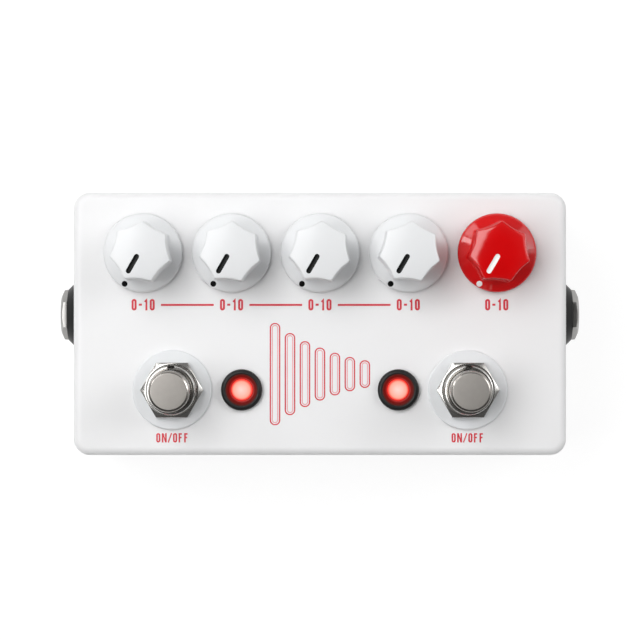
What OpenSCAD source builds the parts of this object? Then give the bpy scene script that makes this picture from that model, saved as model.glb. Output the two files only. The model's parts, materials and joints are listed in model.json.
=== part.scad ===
// Delay pedal with five dials, two footswitches, two lamps, two plug jacks and a power socket.
// Millimetres. +X is right, +Y is the rear, +Z is up, and the origin is on the floor under the case.

/* [Case] */
// Width of the case, left to right
case_w = 122; // [120:0.5:130]
// Depth of the case, front to rear
case_d = 65; // [63:0.5:72]
// Height of the case without its feet
case_h = 39.5; // [39:0.5:46]
// Thickness of the side walls
wall_t = 2.2; // [1.6:0.1:2.6]
// Thickness of the top panel
panel_t = 2.2; // [1.6:0.1:2.6]
// Radius of the upright corners
corner_r = 4; // [3:0.25:5]
// Radius of the rounding along the panel edge
edge_r = 2; // [1:0.25:2.5]
// Thickness of the base plate
plate_t = 2.2; // [1.6:0.1:3]
// Height of the lip that centres the base plate in the case
lip_h = 1.4; // [0.8:0.1:2.4]
// Radius of the four screw posts
post_r = 3.6; // [3.4:0.1:4]
// Radius of the base screws
screw_r = 1.75; // [1.5:0.05:1.9]
// Length of the base screws
screw_len = 12; // [8:0.5:18]
// Radius of the rubber feet
foot_r = 5.5; // [4:0.25:7]
// Height of the rubber feet
foot_h = 2.5; // [1.5:0.25:4]

/* [Dials] */
// Distance from one dial to the next
dial_pitch = 21.85; // [21:0.05:23]
// Distance of the dial row behind the middle of the case
dial_y = 17.55; // [17.4:0.05:19]
// Diameter of the knob skirt
knob_d = 19.5; // [18:0.25:20]
// Height of the knob
knob_h = 14.5; // [13:0.5:18]
// Gap between the knob and the panel
knob_gap = 0.5; // [0.3:0.1:0.8]
// Radius of the grip at its seven corners
grip_r = 7.6; // [7.2:0.1:7.9]
// Radius of the grip in the middle of a flute
flute_mid_r = 6.5; // [6.35:0.05:6.8]
// Radius of the domed top
dome_r = 30; // [22:1:60]
// Length of the pointer groove
pointer_len = 4.9; // [3:0.1:5.4]
// Width of the pointer groove
pointer_w = 1.25; // [0.8:0.05:1.8]
// Diameter of the dot on the skirt
dot_d = 1.45; // [1:0.05:1.7]
// Radius of the upper dial shaft
shaft_r = 3.17; // [2.9:0.01:3.3]
// Radius of the control body under the panel
pot_r = 8; // [7:0.25:8.5]
// Height of the control body
pot_h = 8.8; // [7.5:0.1:9.2]

/* [Footswitches] */
// Distance of each footswitch from the middle line
switch_x = 36.5; // [35:0.25:38]
// Distance of the footswitches in front of the middle of the case
switch_y = 16.3; // [15.6:0.1:17]
// Diameter of the threaded bushing
bushing_d = 12; // [11.5:0.1:12.4]
// Height of the bushing above the panel
bushing_rise = 7.8; // [6:0.1:9]
// Diameter of the button
button_d = 10; // [9.4:0.1:10.2]
// Height of the button above the panel
button_rise = 18; // [15:0.1:20]
// Travel of the button
button_travel = 2.5; // [1:0.1:3]
// Width across the flats of the panel nut
switch_nut_af = 13.5; // [13.4:0.1:15]
// Thickness of the panel nut
switch_nut_t = 2.2; // [1.6:0.1:2.6]
// Diameter of the nylon washer
switch_washer_d = 19.7; // [17:0.1:21]
// Thickness of the nylon washer
switch_washer_t = 1; // [0.6:0.1:1.6]
// Width of the switch body
switch_w = 17; // [16.5:0.25:18]
// Height of the switch body
switch_h = 17; // [15:0.25:18]
// Turns of the return spring
spring_turns = 6; // [4:1:6]

/* [Lamps] */
// Distance of each lamp from the middle line
lamp_x = 19.35; // [18:0.05:21]
// Diameter of the lamp bezel
bezel_d = 10.2; // [9.8:0.1:11.5]
// Height of the bezel above the panel
bezel_rise = 1.8; // [1.2:0.1:2.4]
// Diameter of the lamp
lamp_d = 5; // [4.6:0.1:5.2]

/* [Jacks] */
// Distance of the plug jacks behind the middle of the case
jack_y = 2.3; // [1.8:0.1:2.4]
// Diameter of the plug hole
plug_d = 6.5; // [6.4:0.05:6.7]
// Diameter of the threaded jack nose
nose_d = 9; // [8.6:0.1:9.4]
// Diameter of the bevelled washer at the wall
jack_washer_d = 16.8; // [14:0.1:18]
// Thickness of the bevelled washer
jack_washer_t = 2.8; // [1.6:0.1:3]
// Width across the flats of the jack nut
jack_nut_af = 11; // [10.8:0.1:12]
// Thickness of the jack nut
jack_nut_t = 1.65; // [1.4:0.05:3]
// Width and height of the jack body
jack_w = 14; // [13:0.25:14.5]
// Length of the jack body inside the case
jack_len = 20; // [16:0.5:21]
// Diameter of the power socket hole
socket_d = 6; // [5.7:0.1:6.4]
// Diameter of the power socket pin
socket_pin_d = 2; // [1.9:0.1:2.6]

/* [Boards] */
// Thickness of the circuit boards
board_t = 1.6; // [1:0.1:1.8]
// Distance between the main board and the control board above it
board_gap = 14.4; // [13.5:0.1:15.5]

/* [Hidden] */
$fn = 64;
// clearances
seat_gap = 0.3;
turn_fit = 0.05;
slide_fit = 0.08;
thread_fit = 0.05;
slight = 0.01;
// how far nut corners are turned down, as a share of their overhang
corner_drop = 0.6;
jack_corner_drop = 1.1;
// heights of the case
plate_top_z = foot_h + plate_t;
panel_z = foot_h + case_h;
ceiling_z = panel_z - panel_t;
// screw posts
post_inset = corner_r + 1.2;
post_x = case_w / 2 - post_inset;
post_y = case_d / 2 - post_inset;
screw_head_r = screw_r + 1.5;
screw_cone_h = 1.5;
// feet, from the edges of the case
foot_side_inset = 9;
foot_front_inset = 7;
// boards
board_x = post_x - post_r - 0.6;
board_y = case_d / 2 - wall_t - 1.2;
control_top_z = ceiling_z - pot_h;
control_under_z = control_top_z - board_t;
main_top_z = control_under_z - board_gap;
control_front_y = dial_y - pot_r;
control_rear_y = min(dial_y + pot_r + 1, board_y);
// dials, measured from the panel up
dial_names = ["time", "mix", "repeats", "tone", "boost"];
pointer_turn = 240;
flutes = 7;
flute_r = 14;
flute_draft = 1.5;
knob_top = knob_gap + knob_h;
skirt_rim_h = 1.5;
skirt_h = 3.5;
skirt_neck_r = 6;
skirt_slope = atan2(skirt_h - skirt_rim_h, knob_d / 2 - skirt_neck_r);
groove_depth = 0.4;
pointer_r = 3.5;
dot_inset = 0.9;
pot_bush_r = 3.5;
pot_washer_t = 0.6;
pot_nut_t = 1.8;
pot_nut_af = 10;
pot_bush_top = pot_washer_t + pot_nut_t + 0.5;
journal_r = 2.6;
rotor_r = pot_r - 2.4;
rotor_t = 1.2;
rotor_z = -panel_t - pot_h + 1.5;
shaft_top = knob_top - 2.6;
set_screw_r = 1.5;
set_screw_len = 2.2;
set_screw_z = knob_gap + 0.55 * knob_h;
// footswitches, measured from the panel up
inner_nut_t = 2;
inner_nut_af = 14;
frame_t = 1;
frame_top = -panel_t - inner_nut_t;
body_top = frame_top - frame_t;
body_under = body_top - switch_h;
body_floor = body_under + 1.5;
well_r = switch_w / 2 - 1.3;
flange_r = bushing_d / 2 + 0.6;
flange_t = 1.2;
flange_under = body_top - 0.2 - flange_t;
stem_r = 2.4;
stem_under = body_floor + button_travel + 1.5;
switch_nut_top = switch_washer_t + switch_nut_t;
thread_pitch = 0.75;
thread_depth = 0.3;
thread_count = floor((bushing_rise - switch_nut_top - 0.4) / thread_pitch);
keyway_w = 1.8;
keyway_depth = 0.6;
spring_wire_r = 0.4;
spring_r = 4.2;
spring_steps = 8;
spring_sides = 6;
spring_low = body_floor + spring_wire_r + slight;
spring_rise = flange_under - spring_wire_r - slight - spring_low;
lug_len = panel_z + body_under - main_top_z;
lug_pitch = 4.6;
// lamps, measured from the panel up
barrel_r = bezel_d / 2 - 0.8;
well_top_r = bezel_d / 2 - 1.2;
well_low_r = lamp_d / 2 + 0.7;
well_low = -1;
barrel_under = -5;
lamp_flange_r = lamp_d / 2 + 0.4;
lamp_flange_t = 1;
lamp_tip = bezel_rise - 0.2;
lead_w = 0.6;
lead_pitch = 2.54;
// jacks and power socket
jack_z = main_top_z + jack_w / 2;
inner_wall_x = case_w / 2 - wall_t;
jack_washer_rim = 0.8;
nose_proud = 0.1;
nose_end_x = case_w / 2 + jack_washer_t + jack_nut_t + nose_proud;
contact_t = 0.6;
contact_short = 6;
contact_y = plug_d / 2 + 1.8;
inner_wall_y = case_d / 2 - wall_t;
socket_w = 12;
socket_h = 12.6;
socket_len = 13;
socket_z = main_top_z + socket_h / 2;
socket_nose_r = socket_d / 2 + 2.2;
socket_deep = 9.5;
socket_pin_len = 8.5;
// board parts
chip_x = [-14, 6, 19];
chip_pins = [8, 4, 4];
chip_w = 6.4;
chip_h = 3.4;
chip_lift = 0.6;
pin_spacing = 2.54;
can_x = [-22, -11, 11, 22];
can_r = 2.5;
can_h = 11;
can_set_back = 6;
filter_x = 8;
filter_r = 4;
filter_y = -20;
header_pins = 10;
header_x = -24;
header_w = 2.5;
header_show = 4.5;

// Placing

module at_dial(i) {
    translate([(i - 2) * dial_pitch, dial_y, panel_z]) children();
}

module at_dials() {
    for (i = [0:len(dial_names) - 1]) at_dial(i) children();
}

module at_switch(side) {
    translate([side * switch_x, -switch_y, panel_z]) children();
}

module at_lamp(side) {
    translate([side * lamp_x, -switch_y, panel_z]) children();
}

module at_posts() {
    for (sx = [-1, 1], sy = [-1, 1]) translate([sx * post_x, sy * post_y, 0]) children();
}

// The jack axis, with the local Z pointing out of the case on the right
module on_jack_axis(x) {
    translate([x, jack_y, jack_z]) rotate([0, 90, 0]) children();
}

// The socket axis, with the local Z pointing out of the rear of the case
module on_socket_axis(y) {
    translate([0, y, socket_z]) rotate([-90, 0, 0]) children();
}

module on_side(side) {
    mirror([side < 0 ? 1 : 0, 0, 0]) children();
}

// Shared shapes

function hex_r(af) = af / 2 / cos(30);

// A ring from z = 0 up
module ring(outer, inner, h) {
    difference() {
        cylinder(r = outer, h = h);
        translate([0, 0, -1]) cylinder(r = inner, h = h + 2);
    }
}

// A hexagon nut with its upper corners turned down
module hex_nut(af, t, hole_r, drop = corner_drop) {
    rim = hex_r(af);
    cut = rim - af / 2;
    difference() {
        intersection() {
            cylinder(r = rim, h = t, $fn = 6);
            rotate_extrude() polygon([
                [0, 0], [rim + slight, 0], [rim + slight, t - drop * cut],
                [af / 2 - 0.25, t], [0, t]
            ]);
        }
        translate([0, 0, -1]) cylinder(r = hole_r, h = t + 2);
    }
}

// A block with rounded upright corners and a rounded upper edge
module rounded_block(w, d, low, high, r, edge) {
    rounding = [for (a = [0:10:90]) [r - edge + edge * cos(a), high - edge + edge * sin(a)]];
    hull() for (sx = [-1, 1], sy = [-1, 1]) translate([sx * (w / 2 - r), sy * (d / 2 - r), 0])
        rotate_extrude($fn = 48) polygon(concat([[0, low], [r, low]], rounding, [[0, high]]));
}

// Case

module panel_holes() {
    at_dials() translate([0, 0, -panel_t - 1]) cylinder(r = pot_bush_r + seat_gap, h = panel_t + 2);
    for (side = [-1, 1]) {
        at_switch(side) translate([0, 0, -panel_t - 1])
            cylinder(r = bushing_d / 2 + seat_gap, h = panel_t + 2);
        at_lamp(side) translate([0, 0, -panel_t - 1])
            cylinder(r = barrel_r + seat_gap, h = panel_t + 2);
    }
}

module wall_holes() {
    for (side = [-1, 1]) on_side(side) on_jack_axis(inner_wall_x - 1)
        cylinder(r = nose_d / 2 + seat_gap, h = wall_t + 2);
    on_socket_axis(inner_wall_y - 1) cylinder(r = socket_nose_r + seat_gap, h = wall_t + 2);
}

module enclosure() {
    cavity_r = corner_r - wall_t;
    color("white") difference() {
        union() {
            difference() {
                rounded_block(case_w, case_d, plate_top_z, panel_z, corner_r, edge_r);
                rounded_block(
                    case_w - 2 * wall_t, case_d - 2 * wall_t, plate_top_z - 1, ceiling_z,
                    cavity_r, min(cavity_r, 1) / 2
                );
            }
            at_posts() translate([0, 0, plate_top_z]) cylinder(r = post_r, h = ceiling_z - plate_top_z + 0.5);
        }
        panel_holes();
        wall_holes();
        at_posts() translate([0, 0, plate_top_z - 1]) cylinder(r = screw_r + thread_fit, h = screw_len);
    }
}

module base_plate() {
    lip_x = case_w / 2 - wall_t - seat_gap;
    lip_y = case_d / 2 - wall_t - seat_gap;
    lip_w = 1.6;
    long_bar = 2 * (post_x - post_r - 1);
    short_bar = 2 * (post_y - post_r - 1);
    color("white") difference() {
        union() {
            translate([0, 0, foot_h]) hull() for (sx = [-1, 1], sy = [-1, 1])
                translate([sx * (case_w / 2 - corner_r), sy * (case_d / 2 - corner_r), 0])
                    cylinder(r = corner_r, h = plate_t, $fn = 48);
            for (side = [-1, 1]) {
                translate([-long_bar / 2, side > 0 ? lip_y - lip_w : -lip_y, plate_top_z - 0.2])
                    cube([long_bar, lip_w, lip_h + 0.2]);
                translate([side > 0 ? lip_x - lip_w : -lip_x, -short_bar / 2, plate_top_z - 0.2])
                    cube([lip_w, short_bar, lip_h + 0.2]);
            }
        }
        at_posts() {
            translate([0, 0, foot_h - 1]) cylinder(r = screw_r + seat_gap, h = plate_t + 2);
            translate([0, 0, foot_h - slight])
                cylinder(r1 = screw_head_r + 0.15, r2 = screw_r + seat_gap - slight, h = screw_cone_h);
        }
    }
}

module base_screws() {
    slot_w = 0.9;
    slot_len = 3.4;
    color("silver") at_posts() translate([0, 0, foot_h + 0.1]) difference() {
        union() {
            cylinder(r1 = screw_head_r, r2 = screw_r, h = screw_cone_h);
            cylinder(r = screw_r, h = screw_len - 0.6);
        }
        for (turn = [0, 90]) rotate([0, 0, turn]) translate([-slot_len / 2, -slot_w / 2, -1])
            cube([slot_len, slot_w, 1.9]);
    }
}

module rubber_feet() {
    foot_x = case_w / 2 - foot_r - foot_side_inset;
    foot_y = case_d / 2 - foot_r - foot_front_inset;
    chamfer = 0.6;
    color("dimgray") for (sx = [-1, 1], sy = [-1, 1]) translate([sx * foot_x, sy * foot_y, 0])
        rotate_extrude() polygon([
            [0, 0], [foot_r - chamfer, 0], [foot_r, chamfer], [foot_r, foot_h], [0, foot_h]
        ]);
}

// Boards

module main_board() {
    color("green") translate([-board_x, -board_y, main_top_z - board_t])
        cube([2 * board_x, 2 * board_y, board_t]);
}

module control_board() {
    color("green") translate([-board_x, control_front_y, control_under_z])
        cube([2 * board_x, control_rear_y - control_front_y, board_t]);
}

module board_header() {
    strip = header_pins * pin_spacing;
    rise = control_under_z - main_top_z;
    sleeve_h = rise - header_show;
    pin_w = 0.64;
    color("black") translate([header_x, dial_y, main_top_z]) {
        translate([-strip / 2, -header_w / 2, 0]) cube([strip, header_w, sleeve_h]);
        translate([-strip / 2, -header_w / 2, rise - header_w]) cube([strip, header_w, header_w]);
        for (i = [0:header_pins - 1])
            translate([(i + 0.5) * pin_spacing - strip / 2 - pin_w / 2, -pin_w / 2, sleeve_h - 0.5])
                cube([pin_w, pin_w, rise - sleeve_h]);
    }
}

module chip(pins) {
    chip_len = pins * pin_spacing - 0.6;
    leg_w = 0.5;
    leg_t = 0.3;
    translate([-chip_len / 2, -chip_w / 2, chip_lift]) cube([chip_len, chip_w, chip_h]);
    for (i = [0:pins - 1], side = [-1, 1])
        translate([(i - (pins - 1) / 2) * pin_spacing - leg_w / 2, side * chip_w / 2 - leg_t / 2, 0])
            cube([leg_w, leg_t, chip_lift + chip_h / 2]);
}

module board_chips() {
    color("black") for (i = [0:len(chip_x) - 1]) translate([chip_x[i], 0, main_top_z]) chip(chip_pins[i]);
}

module can(r, h) {
    bead = 0.4;
    rotate_extrude() polygon([
        [0, 0], [r, 0], [r, 1.2], [r - bead, 1.6], [r, 2], [r, h - bead], [r - bead, h], [0, h]
    ]);
}

module board_capacitors() {
    color("navy") {
        for (x = can_x) translate([x, jack_y + can_set_back, main_top_z]) can(can_r, can_h);
        for (side = [-1, 1]) translate([side * filter_x, filter_y, main_top_z]) can(filter_r, can_h + 1);
    }
}

// Dials

module pot() {
    cavity_r = rotor_r + 0.8;
    cavity_low = rotor_z - 0.5;
    color("silver") difference() {
        union() {
            translate([0, 0, -panel_t - pot_h]) cylinder(r = pot_r, h = pot_h);
            translate([0, 0, -panel_t - 1]) cylinder(r = pot_bush_r, h = panel_t + 1 + pot_bush_top);
        }
        translate([0, 0, cavity_low]) cylinder(r = cavity_r, h = rotor_t + 1.3);
        translate([0, 0, cavity_low]) cylinder(r = journal_r + turn_fit, h = pot_bush_top - cavity_low + 1);
    }
}

module pot_nuts() {
    color("silver") at_dials() translate([0, 0, pot_washer_t])
        hex_nut(pot_nut_af, pot_nut_t, pot_bush_r + thread_fit);
}

module pot_washers() {
    color("silver") at_dials() ring(pot_bush_r + 2.4, pot_bush_r + seat_gap, pot_washer_t);
}

module shaft() {
    step_z = pot_bush_top + 0.2;
    color("lightgray") {
        translate([0, 0, rotor_z]) cylinder(r = rotor_r, h = rotor_t);
        translate([0, 0, rotor_z + slight]) cylinder(r = journal_r, h = step_z - rotor_z);
        translate([0, 0, step_z]) cylinder(r = shaft_r, h = shaft_top - step_z);
    }
}

module skirt() {
    rim = knob_d / 2;
    bevel = 0.25;
    translate([0, 0, knob_gap]) rotate_extrude() polygon([
        [0, 0], [rim - bevel, 0], [rim, bevel], [rim, skirt_rim_h], [skirt_neck_r, skirt_h], [0, skirt_h]
    ]);
}

module grip() {
    low = knob_gap + 1;
    spread = tan(flute_draft) * knob_h;
    difference() {
        intersection() {
            translate([0, 0, low]) cylinder(r1 = grip_r + spread, r2 = grip_r, h = knob_top - low);
            translate([0, 0, knob_top - dome_r]) sphere(r = dome_r);
        }
        for (i = [0:flutes - 1]) rotate([0, 0, pointer_turn + (i + 0.5) * 360 / flutes])
            translate([flute_mid_r + flute_r, 0, knob_top]) rotate([0, -flute_draft, 0])
                translate([0, 0, -2 * knob_h]) cylinder(r = flute_r, h = 3 * knob_h);
    }
}

// A long hole outline with round ends, drawn along X
module slot_outline(length, w) {
    ends = (length - w) / 2;
    polygon([
        for (side = [1, -1], a = [-90:15:90]) [side * (ends + w / 2 * cos(a)), side * w / 2 * sin(a)]
    ]);
}

module pointer_groove() {
    difference() {
        translate([pointer_r, 0, knob_top - 2]) linear_extrude(3) slot_outline(pointer_len, pointer_w);
        translate([0, 0, knob_top - dome_r]) sphere(r = dome_r - groove_depth);
    }
}

module skirt_dot() {
    dot_r = knob_d / 2 - dot_inset;
    dot_z = knob_gap + skirt_rim_h + dot_inset * tan(skirt_slope);
    translate([dot_r, 0, dot_z]) rotate([0, 90 - skirt_slope, 0])
        translate([0, 0, -groove_depth]) cylinder(d = dot_d, h = 3);
}

module knob_bore() {
    nut_room_r = hex_r(pot_nut_af) + seat_gap;
    nut_room_top = pot_washer_t + pot_nut_t + seat_gap;
    translate([0, 0, -1]) cylinder(r = nut_room_r, h = nut_room_top + 1);
    translate([0, 0, -1]) cylinder(r = pot_bush_r + 0.4, h = pot_bush_top + 1.4);
    cylinder(r = shaft_r + 0.03, h = shaft_top + 0.3);
}

module set_screw_hole() {
    rotate([0, 0, pointer_turn + 180]) translate([shaft_r - 0.5, 0, set_screw_z]) rotate([0, 90, 0])
        cylinder(r = set_screw_r + thread_fit, h = knob_d);
}

module knob(tint) {
    color(tint) difference() {
        union() {
            skirt();
            grip();
        }
        knob_bore();
        set_screw_hole();
        rotate([0, 0, pointer_turn]) pointer_groove();
        rotate([0, 0, pointer_turn]) skirt_dot();
    }
}

module set_screw() {
    key_r = 0.8;
    color("dimgray") rotate([0, 0, pointer_turn + 180]) translate([shaft_r + 0.1, 0, set_screw_z])
        rotate([0, 90, 0]) difference() {
            cylinder(r = set_screw_r, h = set_screw_len);
            translate([0, 0, set_screw_len - 1.2]) cylinder(r = key_r, h = 2, $fn = 6);
        }
}

// Footswitches

module switch_bushing() {
    outer = bushing_d / 2;
    bore_r = button_d / 2 + slide_fit;
    top_bevel = 0.4;
    ridges = [
        for (i = [0:thread_count - 1]) each [
            [outer, bushing_rise - top_bevel - i * thread_pitch],
            [outer - thread_depth, bushing_rise - top_bevel - (i + 0.5) * thread_pitch]
        ]
    ];
    thread_end = bushing_rise - top_bevel - thread_count * thread_pitch;
    color("silver") difference() {
        union() {
            rotate_extrude() polygon(concat(
                [[bore_r, body_top], [bore_r, bushing_rise], [outer - top_bevel, bushing_rise]],
                ridges,
                [[outer, thread_end], [outer, body_top]]
            ));
            translate([0, 0, body_top]) difference() {
                translate([-switch_w / 2, -switch_w / 2, 0]) cube([switch_w, switch_w, frame_t]);
                translate([0, 0, -1]) cylinder(r = outer - slight, h = frame_t + 2);
            }
        }
        translate([-keyway_w / 2, outer - keyway_depth, frame_top + 0.5])
            cube([keyway_w, keyway_depth + 1, bushing_rise - frame_top]);
    }
}

module switch_body() {
    color("royalblue") difference() {
        translate([-switch_w / 2, -switch_w / 2, body_under]) cube([switch_w, switch_w, switch_h]);
        translate([0, 0, body_floor]) cylinder(r = well_r, h = switch_h);
    }
}

function spring_turn(i) = i * 360 / spring_steps;

function spring_centre(i) = [
    spring_r * cos(spring_turn(i)),
    spring_r * sin(spring_turn(i)),
    spring_low + spring_rise * i / (spring_turns * spring_steps)
];

// A point on the wire, around the centre of ring i
function spring_point(i, a) =
    let(
        turn = spring_turn(i),
        lean = atan2(spring_rise / spring_turns, 2 * PI * spring_r),
        out = [cos(turn), sin(turn), 0],
        up = [sin(turn) * sin(lean), -cos(turn) * sin(lean), cos(lean)]
    )
    spring_centre(i) + spring_wire_r * (cos(a) * out + sin(a) * up);

spring_rings = spring_turns * spring_steps;
spring_least_gap = min([
    for (i = [0:spring_rings], j = [0:spring_rings])
        if (j - i > spring_steps / 2) norm(spring_centre(j) - spring_centre(i)) - 2 * spring_wire_r
]);
echo(spring_least_gap_mm = spring_least_gap);

module switch_spring() {
    last = spring_rings * spring_sides;
    count = last + spring_sides;
    points = concat(
        [for (i = [0:spring_rings], k = [0:spring_sides - 1]) spring_point(i, k * 360 / spring_sides)],
        [spring_centre(0), spring_centre(spring_rings)]
    );
    walls = [
        for (i = [0:spring_rings - 1], k = [0:spring_sides - 1])
            let(
                a = i * spring_sides + k,
                b = i * spring_sides + (k + 1) % spring_sides
            )
            each [[a, a + spring_sides, b], [b, a + spring_sides, b + spring_sides]]
    ];
    ends = [
        for (k = [0:spring_sides - 1])
            let(next = (k + 1) % spring_sides)
            each [[count, k, next], [count + 1, last + next, last + k]]
    ];
    color("silver") polyhedron(points = points, faces = concat(walls, ends));
}

module switch_nuts() {
    color("silver") for (side = [-1, 1]) at_switch(side) translate([0, 0, switch_washer_t])
        hex_nut(switch_nut_af, switch_nut_t, bushing_d / 2 + thread_fit);
}

module switch_washers() {
    outer = switch_washer_d / 2;
    inner = bushing_d / 2 + seat_gap;
    bevel = 0.25;
    color("whitesmoke") for (side = [-1, 1]) at_switch(side) rotate_extrude() polygon([
        [inner, 0], [outer, 0], [outer, switch_washer_t - bevel],
        [outer - bevel, switch_washer_t], [inner, switch_washer_t]
    ]);
}

module switch_inner_nuts() {
    color("silver") for (side = [-1, 1]) at_switch(side) translate([0, 0, frame_top])
        hex_nut(inner_nut_af, inner_nut_t, bushing_d / 2 + thread_fit);
}

module switch_lugs() {
    lug_w = 2;
    lug_t = 0.8;
    color("gold") for (side = [-1, 1], i = [-1:1], j = [-1:1]) at_switch(side)
        translate([i * lug_pitch - lug_w / 2, j * lug_pitch - lug_t / 2, body_under - lug_len])
            cube([lug_w, lug_t, lug_len]);
}

module button() {
    r = button_d / 2;
    bevel = 0.4;
    color("silver") rotate_extrude() polygon([
        [0, stem_under], [stem_r, stem_under], [stem_r, flange_under], [flange_r, flange_under],
        [flange_r, flange_under + flange_t], [r, flange_under + flange_t],
        [r, button_rise - bevel], [r - bevel, button_rise], [0, button_rise]
    ]);
}

// Lamps

module lamp_bezel() {
    rim = bezel_d / 2;
    round_off = 0.5;
    color("black") rotate_extrude() polygon([
        [lamp_d / 2 + 0.1, barrel_under], [barrel_r, barrel_under], [barrel_r, 0], [rim, 0],
        [rim, bezel_rise - 2 * round_off], [rim - 0.3 * round_off, bezel_rise - 0.7 * round_off],
        [rim - round_off, bezel_rise], [well_top_r, bezel_rise], [well_low_r, well_low],
        [lamp_d / 2 + 0.1, well_low]
    ]);
}

module lamp() {
    r = lamp_d / 2;
    color("red") {
        translate([0, 0, barrel_under - lamp_flange_t]) cylinder(r = lamp_flange_r, h = lamp_flange_t);
        translate([0, 0, barrel_under - slight]) cylinder(r = r, h = lamp_tip - r - barrel_under + slight);
        intersection() {
            translate([0, 0, lamp_tip - r]) sphere(r = r);
            translate([-r - 1, -r - 1, lamp_tip - r - slight]) cube([2 * r + 2, 2 * r + 2, r + 1]);
        }
    }
}

module lamp_leads() {
    lead_top = barrel_under - lamp_flange_t;
    lead_len = panel_z + lead_top - main_top_z;
    color("silver") for (side = [-1, 1], i = [-0.5, 0.5]) at_lamp(side)
        translate([i * lead_pitch - lead_w / 2, -lead_w / 2, lead_top - lead_len])
            cube([lead_w, lead_w, lead_len]);
}

// Jacks and power socket

// The slot along the top of a jack body that holds its contact
contact_slot_z = jack_w / 2 - 2;

module jack_body() {
    color("black") difference() {
        union() {
            translate([inner_wall_x - jack_len, jack_y - jack_w / 2, jack_z - jack_w / 2])
                cube([jack_len, jack_w, jack_w]);
            on_jack_axis(inner_wall_x - 1) cylinder(r = nose_d / 2, h = nose_end_x - inner_wall_x + 1);
        }
        on_jack_axis(inner_wall_x - jack_len - 1) cylinder(r = plug_d / 2, h = nose_end_x);
        translate([inner_wall_x - jack_len - 1, jack_y + contact_y - 0.1, jack_z + contact_slot_z])
            cube([jack_len - 4, contact_t + 0.2, jack_w]);
    }
}

module jack_contacts() {
    slot_len = jack_len - contact_short;
    tail_x = inner_wall_x - jack_len - 0.8;
    color("gold") for (side = [-1, 1]) on_side(side) {
        translate([tail_x, jack_y + contact_y, jack_z + contact_slot_z])
            cube([slot_len, contact_t, 1.6]);
        translate([tail_x, jack_y + contact_y, main_top_z]) cube([0.8, contact_t, jack_w - 1]);
    }
}

module jack_washers() {
    rim = jack_washer_d / 2;
    hole = nose_d / 2 + seat_gap;
    face_r = rim - (jack_washer_t - jack_washer_rim);
    color("black") for (side = [-1, 1]) on_side(side) on_jack_axis(case_w / 2) rotate_extrude() polygon([
        [hole, 0], [rim, 0], [rim, jack_washer_rim], [face_r, jack_washer_t], [hole, jack_washer_t]
    ]);
}

module jack_nuts() {
    color("silver") for (side = [-1, 1]) on_side(side) on_jack_axis(case_w / 2 + jack_washer_t)
        rotate([0, 0, 30]) hex_nut(jack_nut_af, jack_nut_t, nose_d / 2 + thread_fit, jack_corner_drop);
}

module power_socket() {
    mouth_y = case_d / 2 - 0.2;
    color("black") difference() {
        union() {
            translate([-socket_w / 2, inner_wall_y - socket_len, main_top_z])
                cube([socket_w, socket_len, socket_h]);
            on_socket_axis(inner_wall_y - 1) cylinder(r = socket_nose_r, h = mouth_y - inner_wall_y + 1);
        }
        on_socket_axis(mouth_y - socket_deep) cylinder(r = socket_d / 2, h = socket_deep + 1);
    }
}

module power_socket_pin() {
    base_t = 0.6;
    color("silver") on_socket_axis(case_d / 2 - 0.2 - socket_deep) {
        cylinder(r = socket_d / 2 - seat_gap, h = base_t);
        translate([0, 0, slight]) cylinder(d = socket_pin_d, h = socket_pin_len);
    }
}

// Drawing

enclosure();
base_plate();
base_screws();
rubber_feet();
main_board();
control_board();
board_header();
board_chips();
board_capacitors();
at_dial(0) pot();  // time_pot
at_dial(1) pot();  // mix_pot
at_dial(2) pot();  // repeats_pot
at_dial(3) pot();  // tone_pot
at_dial(4) pot();  // boost_pot
pot_nuts();
pot_washers();
at_switch(-1) switch_bushing();  // left_switch_bushing
at_switch(1) switch_bushing();  // right_switch_bushing
at_switch(-1) switch_body();  // left_switch_body
at_switch(1) switch_body();  // right_switch_body
at_switch(-1) switch_spring();  // left_switch_spring
at_switch(1) switch_spring();  // right_switch_spring
switch_nuts();
switch_washers();
switch_inner_nuts();
switch_lugs();
at_lamp(-1) lamp_bezel();  // left_lamp_bezel
at_lamp(1) lamp_bezel();  // right_lamp_bezel
at_lamp(-1) lamp();  // left_lamp
at_lamp(1) lamp();  // right_lamp
lamp_leads();
on_side(1) jack_body();  // input_jack_body
on_side(-1) jack_body();  // output_jack_body
jack_nuts();
jack_washers();
jack_contacts();
power_socket();
power_socket_pin();
at_dial(0) knob("white");  // time_knob
at_dial(1) knob("white");  // mix_knob
at_dial(2) knob("white");  // repeats_knob
at_dial(3) knob("white");  // tone_knob
at_dial(4) knob("red");  // boost_knob
at_dial(0) shaft();  // time_shaft
at_dial(1) shaft();  // mix_shaft
at_dial(2) shaft();  // repeats_shaft
at_dial(3) shaft();  // tone_shaft
at_dial(4) shaft();  // boost_shaft
at_dial(0) set_screw();  // time_set_screw
at_dial(1) set_screw();  // mix_set_screw
at_dial(2) set_screw();  // repeats_set_screw
at_dial(3) set_screw();  // tone_set_screw
at_dial(4) set_screw();  // boost_set_screw
at_switch(-1) button();  // left_button
at_switch(1) button();  // right_button
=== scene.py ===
import json
import math

import bmesh
import bpy
from mathutils import Matrix, Vector


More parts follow.
